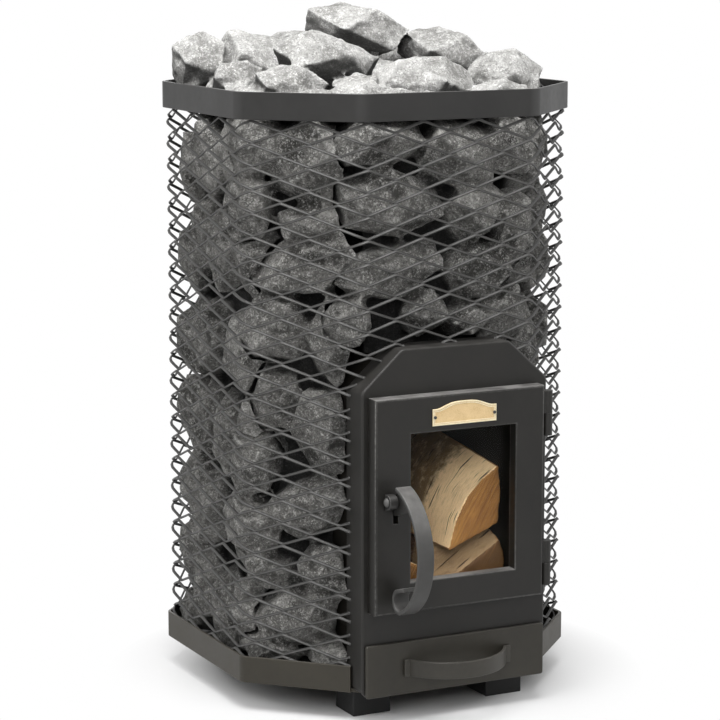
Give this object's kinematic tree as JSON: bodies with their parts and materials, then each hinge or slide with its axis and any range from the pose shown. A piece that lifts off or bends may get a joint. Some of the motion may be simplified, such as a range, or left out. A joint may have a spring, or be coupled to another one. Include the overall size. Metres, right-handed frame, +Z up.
{
  "type": "sauna heater stove",
  "caption": "Wood-fired sauna heater: octagonal expanded-metal cage full of stones round a firebox with a glazed swing door, bowed latch handle and sliding ash drawer.",
  "frame": {"origin": "on the floor, under the middle of the stove's overall box", "axes": "+Z up, -Y out of the door side, +X to the right as seen from in front of the door"},
  "size_m": [0.486, 0.661, 0.9083],
  "materials": {
    "plate_paint": "satin heat-proof charcoal paint",
    "rim_paint": "satin heat-proof paint, a little browned",
    "foot_paint": "matt black paint",
    "mesh_steel": "grey expanded metal",
    "fire_steel": "dark steel, sooted",
    "cast_iron": "raw cast iron",
    "bare_steel": "satin bare steel",
    "brass": "pale brushed brass, left bare",
    "rope": "braided glass-fibre rope",
    "stone": "rough split grey rock",
    "birch": "split birch with pale bark",
    "glass": "clear ceramic glass"
  },
  "bodies": {
    "stove": {"front_plate": "plate_paint", "hinge_frame_upper": "plate_paint", "hinge_frame_lower": "plate_paint", "top_rim": "rim_paint", "bottom_rim": "rim_paint", "base_plate": "rim_paint", "foot_front_left": "foot_paint", "foot_front_right": "foot_paint", "foot_rear_left": "foot_paint", "foot_rear_right": "foot_paint", "mesh_front": "mesh_steel", "mesh_front_right": "mesh_steel", "mesh_right": "mesh_steel", "mesh_rear_right": "mesh_steel", "mesh_rear": "mesh_steel", "mesh_rear_left": "mesh_steel", "mesh_left": "mesh_steel", "mesh_front_left": "mesh_steel", "firebox_shell": "fire_steel", "flue_collar": "fire_steel", "ash_box": "fire_steel", "latch_catch": "fire_steel", "grate": "cast_iron", "flame_baffle": "cast_iron", "stones_front": "stone", "stones_front_left": "stone", "stones_left": "stone", "stones_rear_left": "stone", "stones_rear_lower": "stone", "stones_rear_upper": "stone", "stones_rear_right": "stone", "stones_right": "stone", "stones_front_right": "stone", "stones_heap": "stone", "log_lower_right": "birch", "log_upper_right": "birch", "log_lower_left": "birch", "log_rear_left": "birch"},
    "door": {"door_frame": "plate_paint", "glass_seal": "rope", "door_glass": "glass", "door_rope_seal": "rope", "glass_clip_top": "bare_steel", "glass_clip_bottom": "bare_steel", "glass_stud_top_left": "bare_steel", "glass_stud_top_right": "bare_steel", "glass_stud_bottom_left": "bare_steel", "glass_stud_bottom_right": "bare_steel", "hinge_door_upper": "plate_paint", "hinge_door_lower": "plate_paint", "nameplate": "brass", "nameplate_rivet_left": "brass", "nameplate_rivet_right": "brass", "handle_lug": "bare_steel", "pivot_bolt": "bare_steel"},
    "handle": {"door_handle": "bare_steel", "latch_tongue": "bare_steel"},
    "drawer": {"drawer_front": "plate_paint", "drawer_tray": "fire_steel", "drawer_pull": "bare_steel"}
  },
  "joints": [
    {"name": "door_swing", "type": "hinge", "parent": "stove", "child": "door", "pos_m": [0.129, -0.23851, 0.288], "axis": [0, 0, 1], "range_deg": [0, 120]},
    {"name": "handle_pull", "type": "hinge", "parent": "door", "child": "handle", "pos_m": [-0.0965, -0.25451, 0.2965], "axis": [-1, 0, 0], "range_deg": [0, 25]},
    {"name": "drawer_slide", "type": "slide", "parent": "stove", "child": "drawer", "axis": [0, -1, 0], "range_m": [0, 0.28]}
  ]
}
